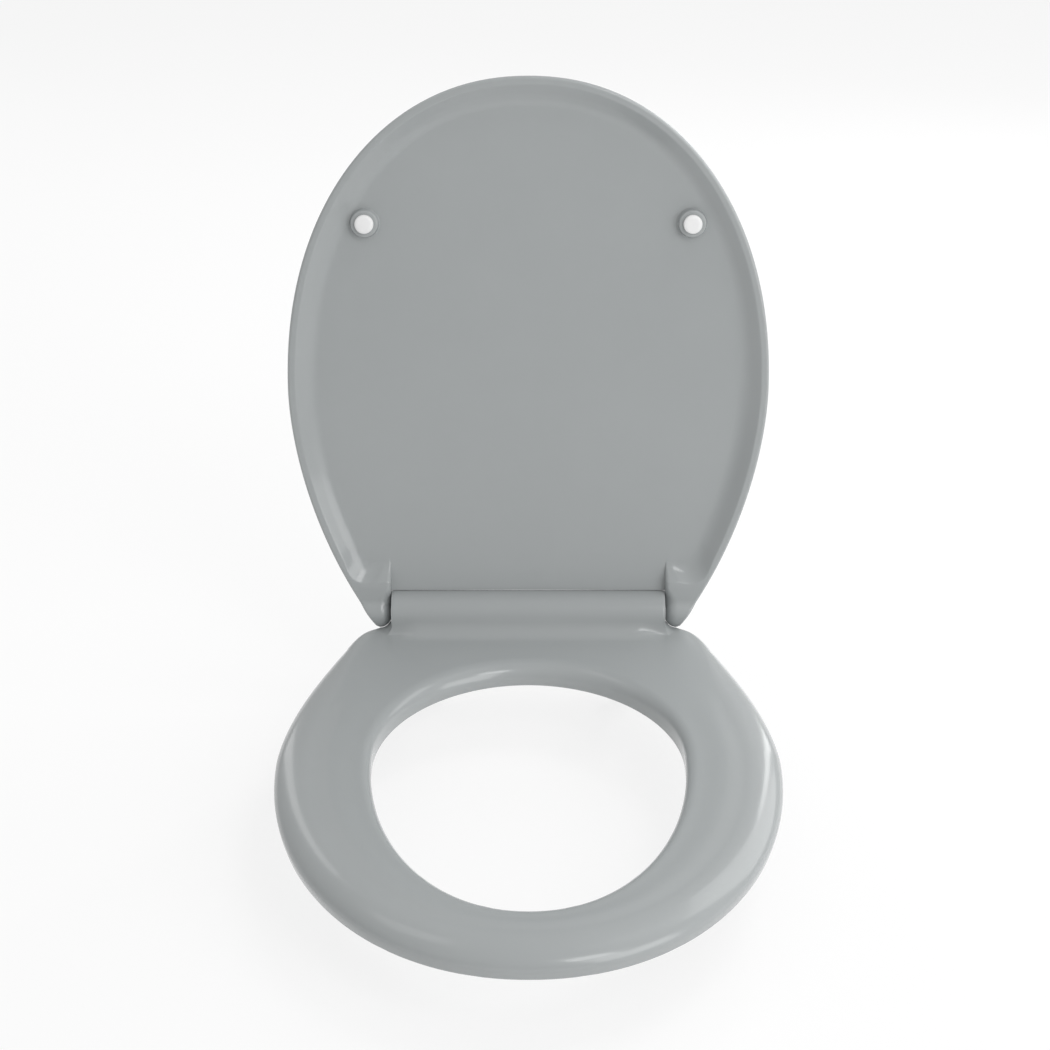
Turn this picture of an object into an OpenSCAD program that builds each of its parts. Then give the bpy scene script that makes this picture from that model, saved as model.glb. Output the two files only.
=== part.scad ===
// Oval thermoset seat and lid for a WC pan, on two rear hinges.
// X is to the right, Y to the rear, Z up. The origin is midway between the two
// fixing bolts, on top of the pan. The ring is drawn down and the lid open.

/* [Plan] */
// Overall width of the ring
seat_w = 375; // [365:1:385]
// Hinge axis to the front of the ring
seat_l = 428; // [415:1:440]
// How much wider the lid is than the ring, each side
lid_over = 1.4; // [0.4:0.2:2]
// How much further the lid reaches than the ring at the front
lid_front_over = 2.2; // [0.6:0.2:3]
// Width of the opening
hole_w = 232.6; // [210:0.2:240]
// Hinge axis to the rear edge of the opening
hole_rear = 69.8; // [68:0.1:80]
// Hinge axis to the front edge of the opening
hole_front = 375.2; // [360:0.1:380]

/* [Ring] */
// Height of the ring's lower rim above the pan
rim_z = 5; // [4:0.5:6]
// Ring height, lower rim to shoulder
ring_h = 20; // [19:0.5:20.5]
// Rise of the ring's crown above its shoulder
crown = 0.8; // [0:0.1:1]
// Wall thickness of the ring's hollow section
ring_wall = 5; // [4:0.5:5.5]

/* [Lid] */
// Opening angle of the lid, and of the ring
open_deg = 101; // [98:0.5:103]
// Depth of the dish at its edge
dish_d = 9; // [8:0.5:10]
// Thickness of the lid's plate
lid_t = 5; // [4:0.5:5.5]
// Extra rise of the lid towards its middle
lid_dome = 2.5; // [0:0.5:4]
// Gap between the ring's shoulder and the closed lid's rim
lid_gap = 1.5; // [1.2:0.1:2]
// Distance of the lid buffers from the middle line
lid_buffer_x = 126.5; // [120:0.5:128]
// Distance of the lid buffers from the hinge axis
lid_buffer_s = 317.5; // [305:0.5:320]
// Diameter of the lid buffers
lid_buffer_d = 14.6; // [12:0.2:16]

/* [Hinge] */
// Height of the hinge axis above the pan
axis_z = 34.5; // [34.5:0.1:35]
// Radius of the ring's hinge barrel
barrel_r = 18; // [17.5:0.1:18.2]
// Half length of the hinge barrel
barrel_half = 109.6; // [108:0.2:110]
// Radius of the lid's lugs
lug_r = 12.2; // [11.5:0.1:12.4]
// Side gap between barrel and lugs
lug_gap = 1; // [0.6:0.1:1.5]
// Diameter of the hinge pins
pin_d = 8; // [7:0.5:8]
// Radial play of the pins in their bushes
pin_play = 0.05; // [0.02:0.01:0.1]

/* [Fixings] */
// Distance between the fixing bolts
bolt_span = 155; // [150:1:160]
// Diameter of the fixing bolts
bolt_d = 8; // [8:0.5:9]
// Length of the bolts below the pan's top
bolt_drop = 48; // [46:1:50]
// Thickness of the pan that the bolts pass
pan_t = 28; // [20:1:28]

/* [Hidden] */
SIDES = ["left", "right"];
$fn = 96;

// Colours
duroplast = [0.62, 0.64, 0.64];
white = [0.95, 0.95, 0.95];
steel = [0.72, 0.73, 0.75];
soft = [0.25, 0.26, 0.27];

// Plan: s is the distance forward of the hinge axis, and directions are measured at mid_s
mid_s = 187.9;
half_w = seat_w / 2;
front_a = seat_l - mid_s;
ring_rear_s = 6;
lid_rear_s = -13;

// Heights, and sections measured from the hinge axis
shoulder_z = rim_z + ring_h;
plate_z = shoulder_z - axis_z;
lid_rim_z = shoulder_z + lid_gap;
lid_rim = lid_rim_z - axis_z;
bore_r = barrel_r - 4.6;
blend_r = 14;
relief_r = barrel_r + 0.9;
lug_x = barrel_half + lug_gap;

// Stations along the hinge axis, from the middle outwards
web_x = [56, 62];
slot_x = [66.5, 88.5];
cheek_x = [barrel_half - 5.8, barrel_half];
lug_bush_x = [lug_x, lug_x + 9];
pin_x = [web_x[0] - 0.4, lug_bush_x[1] - 0.5];
mount_x = bolt_span / 2;
post_half = 8;
neck_half = 7;
bush_r = 6;

// Buffers under the ring, as directions in plan from the middle
front_buffer_a = 42;
rear_buffer_a = 127;
ring_buffer_top = 7;
ring_boss_r = 10.5;

// Directions in degrees, closer together at the rear corners
half_dirs = concat([for (a = [0:4.5:130]) a], [for (a = [132:1.7:160]) a],
                   [for (a = [164:4:179]) a]);
last_dir = len(half_dirs) - 1;
dirs = concat(half_dirs, [180], [for (i = [last_dir:-1:1]) 360 - half_dirs[i]]);

// Radius, in direction a, of an oval with its own reach and power to the front and rear
function oval(a, w, front, nf, rear, nr) =
    let (c = cos(a), q = c > 0 ? front : rear, n = c > 0 ? nf : nr)
    pow(pow(abs(c) / q, n) + pow(abs(sin(a)) / w, n), -1 / n);
// The oval cut off by a straight rear line at distance d, with rounded corners
function cut_oval(r, a, d) =
    let (k = 40, f = max(0, -cos(a)) * r / d) r / pow(1 + pow(f, k), 1 / k);
function ring_r(a) =
    cut_oval(oval(a, half_w, front_a, 2.084, 299.8, 1.651), a, mid_s - ring_rear_s);
function lid_r(a) =
    cut_oval(oval(a, half_w + lid_over, front_a + lid_front_over, 2.135, 283.2, 1.754), a,
             mid_s - lid_rear_s);
function hole_r(a) =
    oval(a, hole_w / 2, hole_front - mid_s, 2.091, mid_s - hole_rear, 1.973);
function plan(a, r) = [r * sin(a), -mid_s - r * cos(a)];

// How much of its full width the ring's rounded shoulder keeps: less near the hinge
function shoulder_share(a) =
    let (t = min(1, max(0, (abs(180 - a) - 38) / 22))) 0.35 + 0.65 * t * t * (3 - 2 * t);

// The ring's hollow section. Side 0 is measured inwards from the outer edge, side 1
// outwards from the opening, side 2 is a share of the band between them, and side 3 is
// the shoulder, measured as side 0.
ring_section = let (t = shoulder_z, w = ring_wall) [
    [0, 1.3, rim_z], [0, 0.4, rim_z + 5], [0, 0, rim_z + 9.5], [3, 0.7, rim_z + 14],
    [3, 2.6, t - 3], [3, 6, t - 1], [3, 11.5, t - 0.1], [2, 0.3, t + 0.65 * crown],
    [2, 0.5, t + crown], [2, 0.72, t + 0.7 * crown], [1, 8, t - 0.3], [1, 3.6, t - 1.4],
    [1, 1.2, t - 3.4], [1, 0, t - 7], [1, 0.7, rim_z + 3],
    [1, w + 0.7, rim_z + 3], [1, w, t - w - 5], [1, w + 4, t - w - 0.6],
    [0, w + 6.5, t - w - 0.6], [0, w + 1, t - w - 4.5], [0, w + 1.3, rim_z]];
function ring_point(a, q) =
    let (ro = ring_r(a), ri = hole_r(a),
         r = q[0] == 0 ? ro - q[1] : q[0] == 1 ? ri + q[1] :
             q[0] == 2 ? ro + (ri - ro) * q[1] : ro - q[1] * shoulder_share(a),
         p = plan(a, r)) [p[0], p[1], q[2]];

// Faces of a grid of n sections with m points each, closed both ways
function torus_faces(n, m) = [for (i = [0:n - 1], j = [0:m - 1])
    let (i2 = (i + 1) % n, j2 = (j + 1) % m)
    each [[i * m + j, i2 * m + j2, i2 * m + j], [i * m + j, i * m + j2, i2 * m + j2]]];

module ring_loft() {
    polyhedron([for (a = dirs, q = ring_section) ring_point(a, q)],
               torus_faces(len(dirs), len(ring_section)), convexity = 6);
}

// The lid's section from the middle of the dish round the rim to the middle of the top.
// Side 0 is measured inwards from the outer edge, side 1 is a share of the flat inside it.
dish_edge = 26.8;
function dish_z(f) = dish_d + lid_dome * (1 - f * f);
lid_section = concat(
    [for (f = [0.35, 0.7, 0.9, 1]) [1, f, dish_z(f)]],
    [[0, 19, dish_d - 0.9], [0, 13.8, dish_d - 2.8], [0, 9, 2.2], [0, 6.6, 0.5], [0, 5.2, 0],
     [0, 2.2, 0], [0, 0.7, 0.8], [0, 0, 2.6], [0, 0.3, 6], [0, 1.6, 9.5], [0, 4.4, 12],
     [0, 10, dish_d + lid_t - 0.5]],
    [for (f = [1, 0.9, 0.7, 0.35]) [1, f, dish_z(f) + lid_t]]);
function lid_point(a, q) =
    let (ro = lid_r(a), p = plan(a, q[0] == 0 ? ro - q[1] : (ro - dish_edge) * q[1]))
    [p[0], p[1], lid_rim_z + q[2]];

// Faces of a stack of m rings of n points, closed by a point at each end
function stack_faces(n, m) = concat(
    [for (j = [0:m - 2], i = [0:n - 1]) let (i2 = (i + 1) % n)
        each [[j * n + i, (j + 1) * n + i2, j * n + i2],
              [j * n + i, (j + 1) * n + i, (j + 1) * n + i2]]],
    [for (i = [0:n - 1]) [m * n, i, (i + 1) % n]],
    [for (i = [0:n - 1]) [m * n + 1, (m - 1) * n + (i + 1) % n, (m - 1) * n + i]]);

module lid_loft() {
    ends = [[0, -mid_s, lid_rim_z + dish_z(0)], [0, -mid_s, lid_rim_z + dish_z(0) + lid_t]];
    polyhedron(concat([for (q = lid_section, a = dirs) lid_point(a, q)], ends),
               stack_faces(len(dirs), len(lid_section)), convexity = 6);
}

// Extrudes a section, drawn as (forward, up) from the hinge axis, between two stations
module across(x) {
    translate([x[0], 0, axis_z]) rotate([90, 0, 90]) mirror([1, 0, 0])
        linear_extrude(x[1] - x[0]) children();
}
// A solid cylinder on the hinge axis between two stations
module axis_rod(r, x) {
    translate([x[0], 0, axis_z]) rotate([0, 90, 0]) cylinder(r = r, h = x[1] - x[0]);
}
// Draws a right-hand shape on the named side
module on_side(side) {
    mirror([side == "left" ? 1 : 0, 0, 0]) children();
}
module both_sides() {
    for (side = SIDES) on_side(side) children();
}

// Hinge barrel: a tube round the pins, open below for the posts and blended into the plate
module barrel_section() {
    c = [sqrt(pow(barrel_r + blend_r, 2) - pow(plate_z + blend_r, 2)), plate_z + blend_r];
    lip = [14, plate_z - ring_wall];
    difference() {
        union() {
            circle(r = barrel_r);
            difference() {
                polygon([[0, 0], c, [c[0], plate_z], [44, plate_z - 2.5], [44, lip[1]], lip]);
                translate(c) circle(r = blend_r);
            }
        }
        circle(r = bore_r);
        polygon([[0, 0], 24 * [cos(230), sin(230)], [0, -30], [lip[0], -30], lip,
                 bore_r * [cos(-45), sin(-45)]]);
    }
}
// Back of the barrel, cut away where the posts pass it as the ring rises
module slot_section() {
    polygon([[0, 0], 30 * [cos(129), sin(129)], [-30, 20], [-30, -30], [0, -30]]);
}

module ring_buffer_place(a) {
    p = plan(a, (ring_r(a) + hole_r(a)) / 2);
    translate([p[0], p[1], 0]) children();
}

// The ring's one moulding, with its barrel
module ring_moulding() {
    difference() {
        union() {
            difference() {
                ring_loft();
                translate([-cheek_x[0], -21.5, 0])
                    cube([2 * cheek_x[0], 40, shoulder_z - ring_wall]);
            }
            difference() {
                across([-barrel_half, barrel_half]) barrel_section();
                both_sides() across(slot_x) slot_section();
            }
            both_sides() for (x = [web_x, cheek_x]) axis_rod(bore_r + 2, x);
            both_sides() for (a = [front_buffer_a, rear_buffer_a]) ring_buffer_place(a)
                translate([0, 0, ring_buffer_top])
                cylinder(r = ring_boss_r, h = shoulder_z - 3 - ring_buffer_top);
        }
        both_sides() for (x = [web_x, cheek_x]) axis_rod(bush_r, [x[0] - 1, x[1] + 1]);
        both_sides() for (a = [front_buffer_a, rear_buffer_a]) ring_buffer_place(a)
            cylinder(r = 3, h = ring_buffer_top + 6);
    }
}
// The barrel is drawn as a piece of its own, joined to the ring face to face
barrel_joint_s = 20;
module barrel_zone() {
    translate([-barrel_half, -barrel_joint_s, 0])
        cube([2 * barrel_half, barrel_joint_s + 40, 3 * axis_z]);
}
module seat_ring() {
    color(duroplast) difference() {
        ring_moulding();
        barrel_zone();
    }
}
module hinge_barrel() {
    color(duroplast) intersection() {
        ring_moulding();
        barrel_zone();
    }
}

module ring_buffer(side, a) {
    color(soft) on_side(side) ring_buffer_place(a) {
        cylinder(r1 = 8, r2 = 9, h = 2);
        translate([0, 0, 2]) cylinder(r = 9, h = ring_buffer_top - 2);
        translate([0, 0, ring_buffer_top]) cylinder(r = 3, h = 5.5);
    }
}

module bush(side, x) {
    color(white) on_side(side) difference() {
        axis_rod(bush_r, x);
        axis_rod(pin_d / 2 + pin_play, [x[0] - 1, x[1] + 1]);
    }
}

// Lug at each rear corner of the lid: a disc on the axis that runs on forward as part of
// the rim and then falls to the dish as the rim does
module lug_section() {
    foot = lid_rim + dish_d;
    circle(r = lug_r);
    polygon([[0, 0], (lug_r - 0.4) * [cos(-50), sin(-50)], [11, lid_rim + 0.1],
             [27, lid_rim + 0.1], [28.4, lid_rim + 0.6], [30.8, lid_rim + 2.2],
             [35.6, lid_rim + 6.2], [40.8, foot - 0.7], [50, foot + 1.5], [50, foot + 3],
             [20, foot + 3], (lug_r - 0.4) * [cos(38), sin(38)]]);
}

module lid_boss_place() {
    translate([lid_buffer_x, -lid_buffer_s, lid_rim_z]) children();
}

module closed_lid() {
    difference() {
        union() {
            difference() {
                lid_loft();
                translate([-half_w, 0, 0]) cube([seat_w, 40, 3 * axis_z]);
            }
            intersection() {
                both_sides() across([lug_x, half_w]) lug_section();
                linear_extrude(3 * axis_z) polygon([for (a = dirs) plan(a, lid_r(a) - 0.6)]);
            }
            both_sides() lid_boss_place()
                translate([0, 0, 3.2]) cylinder(r1 = 10.4, r2 = 11.2, h = dish_d);
        }
        axis_rod(relief_r, [-lug_x, lug_x]);
        both_sides() axis_rod(bush_r, [lug_bush_x[0] - 1, lug_bush_x[1]]);
        both_sides() lid_boss_place() cylinder(r = 3, h = 7.2);
    }
}
// Turns the closed lid's parts to the open position they are drawn in
module opened() {
    translate([0, 0, axis_z]) rotate([-open_deg, 0, 0]) translate([0, 0, -axis_z]) children();
}

// The lugs are drawn as pieces of their own, joined to the lid face to face
lug_joint_s = 30;
module lug_zone() {
    translate([lug_x, -lug_joint_s, 0]) cube([half_w, lug_joint_s + 40, 3 * axis_z]);
}
module lid() {
    color(duroplast) opened() difference() {
        closed_lid();
        both_sides() lug_zone();
    }
}
module lid_lug(side) {
    color(duroplast) opened() intersection() {
        closed_lid();
        on_side(side) lug_zone();
    }
}

module lid_buffer(side) {
    h = 3.6;
    color(white) opened() on_side(side) lid_boss_place() {
        translate([0, 0, -0.4]) cylinder(d1 = lid_buffer_d - 1.2, d2 = lid_buffer_d, h = 0.6);
        translate([0, 0, 0.2]) cylinder(d = lid_buffer_d, h = h - 0.6);
        translate([0, 0, h - 0.4]) cylinder(r = 3, h = 3.8);
    }
}

module hinge_pin(side) {
    color(steel) on_side(side) {
        axis_rod(pin_d / 2, pin_x);
        axis_rod(bush_r, [pin_x[0] - 2, pin_x[0]]);
    }
}

// Post: a round foot, a tapered neck and a head across the pin
post_foot_r = 20;
post_foot_z = [2, 8];
module hinge_post(side) {
    foot_h = post_foot_z[1] - post_foot_z[0];
    color(white) on_side(side) difference() {
        union() {
            translate([mount_x, 0, post_foot_z[0]]) cylinder(r = post_foot_r, h = foot_h - 1.5);
            translate([mount_x, 0, post_foot_z[1] - 1.5])
                cylinder(r1 = post_foot_r, r2 = post_foot_r - 1.5, h = 1.5);
            across([mount_x - neck_half, mount_x + neck_half])
                polygon([[12, post_foot_z[1] - axis_z - 1], [6.5, -18], [6, 0],
                         [-6, 0], [-6.5, -18], [-12, post_foot_z[1] - axis_z - 1]]);
            axis_rod(bore_r - 0.5, [mount_x - post_half, mount_x + post_half]);
        }
        axis_rod(pin_d / 2, [slot_x[0], slot_x[1]]);
        translate([mount_x, 0, -1]) cylinder(r = bolt_d / 2 + 0.3, h = 15);
    }
}

module base_gasket(side) {
    color(soft) on_side(side) translate([mount_x, 0, 0]) difference() {
        cylinder(r = post_foot_r, h = post_foot_z[0]);
        translate([0, 0, -1]) cylinder(r = bolt_d / 2 + 0.8, h = post_foot_z[0] + 2);
    }
}

// Bolt, with its thread below the pan as a plain cylinder
module fixing_stud(side) {
    color(steel) on_side(side) translate([mount_x, 0, 0]) {
        cylinder(r = bolt_d / 2 + 0.3, h = 14);
        translate([0, 0, -pan_t]) cylinder(r = bolt_d / 2, h = pan_t);
        translate([0, 0, -bolt_drop]) cylinder(r = bolt_d / 2 - 0.2, h = bolt_drop - pan_t);
    }
}

washer_h = 7;
module cone_washer(side) {
    color(soft) on_side(side) translate([mount_x, 0, -pan_t - washer_h]) difference() {
        union() {
            cylinder(r = 11, h = 2.5);
            translate([0, 0, 2.5]) cylinder(r1 = 11, r2 = 6.5, h = washer_h - 2.5);
        }
        translate([0, 0, -1]) cylinder(r = bolt_d / 2 + 0.1, h = washer_h + 2);
    }
}

module wing_nut(side) {
    color(white) on_side(side) translate([mount_x, 0, -pan_t - washer_h]) difference() {
        union() {
            translate([0, 0, -8]) cylinder(r = 7.5, h = 8);
            translate([0, 0, -1.5]) cylinder(r = 9.5, h = 1.5);
            rotate([90, 0, 0]) linear_extrude(3, center = true)
                polygon([[-14, -1], [-14, -6], [-11, -8], [11, -8], [14, -6], [14, -1]]);
        }
        translate([0, 0, -9]) cylinder(r = bolt_d / 2 - 0.2, h = 10);
    }
}

hinge_post("left");  // hinge_post_left
hinge_post("right");  // hinge_post_right
hinge_pin("left");  // hinge_pin_left
hinge_pin("right");  // hinge_pin_right
base_gasket("left");  // base_gasket_left
base_gasket("right");  // base_gasket_right
fixing_stud("left");  // fixing_stud_left
fixing_stud("right");  // fixing_stud_right
cone_washer("left");  // cone_washer_left
cone_washer("right");  // cone_washer_right
wing_nut("left");  // wing_nut_left
wing_nut("right");  // wing_nut_right
seat_ring();
hinge_barrel();
ring_buffer("left", front_buffer_a);  // ring_buffer_front_left
ring_buffer("right", front_buffer_a);  // ring_buffer_front_right
ring_buffer("left", rear_buffer_a);  // ring_buffer_rear_left
ring_buffer("right", rear_buffer_a);  // ring_buffer_rear_right
bush("left", web_x);  // ring_bush_inner_left
bush("right", web_x);  // ring_bush_inner_right
bush("left", cheek_x);  // ring_bush_outer_left
bush("right", cheek_x);  // ring_bush_outer_right
lid();
lid_lug("left");  // lid_lug_left
lid_lug("right");  // lid_lug_right
lid_buffer("left");  // lid_buffer_left
lid_buffer("right");  // lid_buffer_right
opened() bush("left", lug_bush_x);  // lid_bush_left
opened() bush("right", lug_bush_x);  // lid_bush_right
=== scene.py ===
from math import acos, atan2, cos, degrees, pi, radians, sin, sqrt

import bpy
import numpy as np
from mathutils import Matrix, Vector


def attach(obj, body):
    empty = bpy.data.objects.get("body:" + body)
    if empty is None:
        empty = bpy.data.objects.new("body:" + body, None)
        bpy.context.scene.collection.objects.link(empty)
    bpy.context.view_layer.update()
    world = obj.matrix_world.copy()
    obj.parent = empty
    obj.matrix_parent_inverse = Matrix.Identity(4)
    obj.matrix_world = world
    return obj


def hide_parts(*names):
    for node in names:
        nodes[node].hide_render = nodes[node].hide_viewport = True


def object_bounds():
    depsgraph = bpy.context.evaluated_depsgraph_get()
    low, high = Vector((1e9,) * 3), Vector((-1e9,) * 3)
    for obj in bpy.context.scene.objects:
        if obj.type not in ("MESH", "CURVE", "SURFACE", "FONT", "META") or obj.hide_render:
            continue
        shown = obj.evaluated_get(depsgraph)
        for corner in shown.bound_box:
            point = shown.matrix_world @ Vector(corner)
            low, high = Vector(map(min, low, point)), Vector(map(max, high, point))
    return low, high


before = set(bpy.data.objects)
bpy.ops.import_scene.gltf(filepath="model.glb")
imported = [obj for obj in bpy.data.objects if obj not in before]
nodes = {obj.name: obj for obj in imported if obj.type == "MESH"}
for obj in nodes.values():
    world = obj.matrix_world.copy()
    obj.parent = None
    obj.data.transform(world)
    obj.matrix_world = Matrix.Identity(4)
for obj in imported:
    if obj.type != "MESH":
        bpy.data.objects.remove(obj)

cad_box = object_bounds()
SIDES = ("left", "right")
MM = 0.001

# Sizes in millimetres, as in the part's source. Forward is measured from the hinge axis.
AXIS_Z = 34.5
PHOTO_SIZE = 1050


class Value:
    """A shader socket that can be used in plain arithmetic."""

    def __init__(self, tree, socket):
        self.tree = tree
        self.socket = socket

    def _math(self, operation, a, b):
        return self.tree.node("ShaderNodeMath", {"operation": operation}, {0: a, 1: b})

    def __add__(self, other):
        return self._math("ADD", self, other)

    def __radd__(self, other):
        return self._math("ADD", other, self)

    def __sub__(self, other):
        return self._math("SUBTRACT", self, other)

    def __rsub__(self, other):
        return self._math("SUBTRACT", other, self)

    def __mul__(self, other):
        return self._math("MULTIPLY", self, other)

    def __rmul__(self, other):
        return self._math("MULTIPLY", other, self)

    def __truediv__(self, other):
        return self._math("DIVIDE", self, other)

    def maximum(self, other):
        return self._math("MAXIMUM", self, other)


class Finish:
    """A material and the nodes that make it."""

    def __init__(self, name):
        self.material = bpy.data.materials.new(name)
        self.material.use_nodes = True
        self.tree = self.material.node_tree
        self.tree.nodes.clear()

    def node(self, kind, settings=None, inputs=None, output=0):
        made = self.tree.nodes.new(kind)
        for name, value in (settings or {}).items():
            if name == "stops":
                for place, (position, level) in enumerate(value):
                    ramp = made.color_ramp.elements
                    stop = ramp[place] if place < 2 else ramp.new(position)
                    stop.position = position
                    stop.color = (level, level, level, 1)
            else:
                setattr(made, name, value)
        for name, value in (inputs or {}).items():
            if isinstance(value, Value):
                self.tree.links.new(value.socket, made.inputs[name])
            else:
                made.inputs[name].default_value = value
        return Value(self, made.outputs[output])

    def place(self):
        return self.node("ShaderNodeTexCoord", output="Object")

    def noise(self, scale, detail=2.0, rough=0.5, output=0):
        return self.node("ShaderNodeTexNoise", None,
                         {"Vector": self.place(), "Scale": scale, "Detail": detail,
                          "Roughness": rough}, output)

    def ramp(self, value, *stops):
        return self.node("ShaderNodeValToRGB", {"stops": stops}, {"Fac": value})

    def mix(self, share, a, b):
        return self.node("ShaderNodeMix", {"data_type": "RGBA"}, {0: share, 6: a, 7: b}, 2)

    def bump(self, height, strength, distance):
        return self.node("ShaderNodeBump", None,
                         {"Height": height, "Strength": strength, "Distance": distance})

    def surface(self, **inputs):
        names = {name.replace("_", " "): value for name, value in inputs.items()}
        shader = self.node("ShaderNodeBsdfPrincipled", None, names)
        self.node_output(shader)

    def node_output(self, shader):
        made = self.tree.nodes.new("ShaderNodeOutputMaterial")
        self.tree.links.new(shader.socket, made.inputs["Surface"])


def grey(level, warm=0.0):
    """A neutral colour from its brightness as seen on screen, 0 to 1."""
    linear = level ** 2.2
    return (linear * (1 + warm), linear, linear * (1 - warm / 6), 1)


def duroplast():
    """Pressed thermoset: hard, glossy and faintly cloudy, with a very fine orange peel."""
    made = Finish("duroplast_grey")
    cloud = made.noise(14, 3)
    speck = made.noise(900, 2)
    colour = made.mix(cloud * 0.7 + speck * 0.3, grey(0.625, -0.05), grey(0.645, -0.048))
    peel = made.noise(260, 2) * 0.7 + made.noise(1500, 1) * 0.3
    made.surface(Base_Color=colour, Roughness=0.17 + cloud * 0.05, IOR=1.5,
                 Normal=made.bump(peel, 0.12, 0.0002), Coat_Weight=0.25, Coat_Roughness=0.05)
    return made.material


def plastic(name, colour, gloss):
    """Injection-moulded plastic with flow marks and a fine spark texture."""
    made = Finish(name)
    flow = made.noise(60, 3)
    spark = made.noise(2600, 2)
    darker = tuple(0.93 * part for part in colour[:3]) + (1,)
    made.surface(Base_Color=made.mix(flow, darker, colour), Roughness=gloss + flow * 0.12,
                 IOR=1.48, Normal=made.bump(spark, 0.2, 0.0001))
    return made.material


def rubber():
    """Matt grey rubber, slightly dusty."""
    made = Finish("grey_rubber")
    dust = made.noise(120, 4)
    grain = made.noise(3200, 3)
    colour = made.mix(dust, grey(0.2), grey(0.29))
    made.surface(Base_Color=colour, Roughness=0.72 + dust * 0.15,
                 Normal=made.bump(grain, 0.5, 0.0002))
    return made.material


def bright_steel():
    """Zinc-plated steel with drawing marks and small dull spots."""
    made = Finish("plated_steel")
    spots = made.noise(220, 4)
    grain = made.noise(2400, 2)
    made.surface(Base_Color=made.mix(spots, grey(0.74), grey(0.82)), Metallic=1.0,
                 Roughness=0.22 + spots * 0.2, Normal=made.bump(grain, 0.15, 0.0001))
    return made.material


GREY_SHELL = duroplast()
BUFFER_WHITE = plastic("buffer_white", grey(0.93), 0.38)
POST_PLASTIC = plastic("post_white", grey(0.86), 0.3)
BUSH_PLASTIC = plastic("bush_white", grey(0.88), 0.25)
RUBBER = rubber()
STEEL = bright_steel()
FINISHES = {
    "seat_ring": GREY_SHELL, "hinge_barrel": GREY_SHELL, "lid": GREY_SHELL,
    "lid_lug": GREY_SHELL, "lid_buffer": BUFFER_WHITE,
    "hinge_post": POST_PLASTIC, "wing_nut": POST_PLASTIC, "ring_bush": BUSH_PLASTIC,
    "lid_bush": BUSH_PLASTIC, "hinge_pin": STEEL, "fixing_stud": STEEL,
    "base_gasket": RUBBER, "cone_washer": RUBBER, "ring_buffer": RUBBER}
for name, part in nodes.items():
    kind = max((key for key in FINISHES if name.startswith(key)), key=len)
    part.data.materials.clear()
    part.data.materials.append(FINISHES[kind])


# Plan of the ring, its opening and the lid. Directions turn from the front, round MID_S.
SEAT_W, SEAT_L, MID_S = 375, 428, 187.9
HOLE_W, HOLE_REAR, HOLE_FRONT = 232.6, 69.8, 375.2
RING_REAR_S, LID_OVER, LID_FRONT_OVER = 6, 1.4, 2.05
# Heights from the hinge axis
RIM, SHOULDER, CROWN = 5 - AXIS_Z, 25 - AXIS_Z, 0.8
LID_RIM, DISH, PLATE, DOME = -8, 9, 4.9, 2.5
# Hinge: barrel, its blend into the ring, and the lid's lugs
BARREL_R, BARREL_END, BORE_R, BLEND_R, RELIEF_R = 18, 109.6, 13.4, 14, 18.4
LUG_R, LUG_X, LUG_EDGE_S, LUG_DOME = 12.2, 110.6, 9.2, 9.5
BUSH_R, MOUNT_X = 6, 77.5
OPEN = radians(101)


def oval(turn, half, front, front_power, rear, rear_power):
    """Radius of an oval that has its own reach and power to the front and to the rear."""
    ahead = np.cos(turn) > 0
    reach = np.where(ahead, front, rear)
    power = np.where(ahead, front_power, rear_power)
    lengthwise = (abs(np.cos(turn)) / reach) ** power
    return (lengthwise + (abs(np.sin(turn)) / half) ** power) ** (-1 / power)


def cut_off(radius, turn, distance, sharpness):
    """The oval's radius where a straight rear line cuts it off, with a rounded corner."""
    share = np.maximum(0, -np.cos(turn)) * radius / distance
    return radius / (1 + share ** sharpness) ** (1 / sharpness)


def ring_radius(turn):
    radius = oval(turn, SEAT_W / 2, SEAT_L - MID_S, 2.084, 299.8, 1.651)
    return cut_off(radius, turn, MID_S - RING_REAR_S, 26)


def lid_radius(turn):
    half = SEAT_W / 2 + LID_OVER
    return oval(turn, half, SEAT_L - MID_S + LID_FRONT_OVER, 2.135, 283.2, 1.754)


def hole_radius(turn):
    return oval(turn, HOLE_W / 2, HOLE_FRONT - MID_S, 2.091, MID_S - HOLE_REAR, 1.973)


def plan(turn, radius):
    """The point (across, forward of the axis) at a radius in a direction."""
    return np.array([radius * np.sin(turn), MID_S + radius * np.cos(turn)])


def ease(value, start, end):
    """0 before start, 1 after end, and a smooth step between them."""
    share = np.clip((value - start) / (end - start), 0, 1)
    return share * share * (3 - 2 * share)


def rounding(count, inset, drop, power):
    """Points (inset, drop) round an edge, from the side wall to the top."""
    turn = np.linspace(0, pi / 2, count)
    return (inset * (1 - np.cos(turn) ** (2 / power)), drop * (1 - np.sin(turn) ** (2 / power)))


def lowest(a, b, soft=2.5):
    """The lower of two heights, with a fillet where they cross."""
    near = np.maximum(soft - abs(a - b), 0) / soft
    return np.minimum(a, b) - near * near * soft / 4


def lug_rounding(forward):
    """Radius of the lug's inner edge: a dome round the pin, tight along the arm."""
    return 9.5 - 6 * ease(forward, 12, 24) - 1.7 * ease(forward, 30, 40)


# How the rows of the ring's section are shared out
FLAT_ROWS, EDGE_ROWS, WALL_ROWS, FOOT_ROWS = 20, 18, 6, 8
BLEND_ROWS, ROUND_ROWS = 14, 30
GUIDE_S, SIDE_REACH, SIDE_DROP = 36, 27, 12.5


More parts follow.
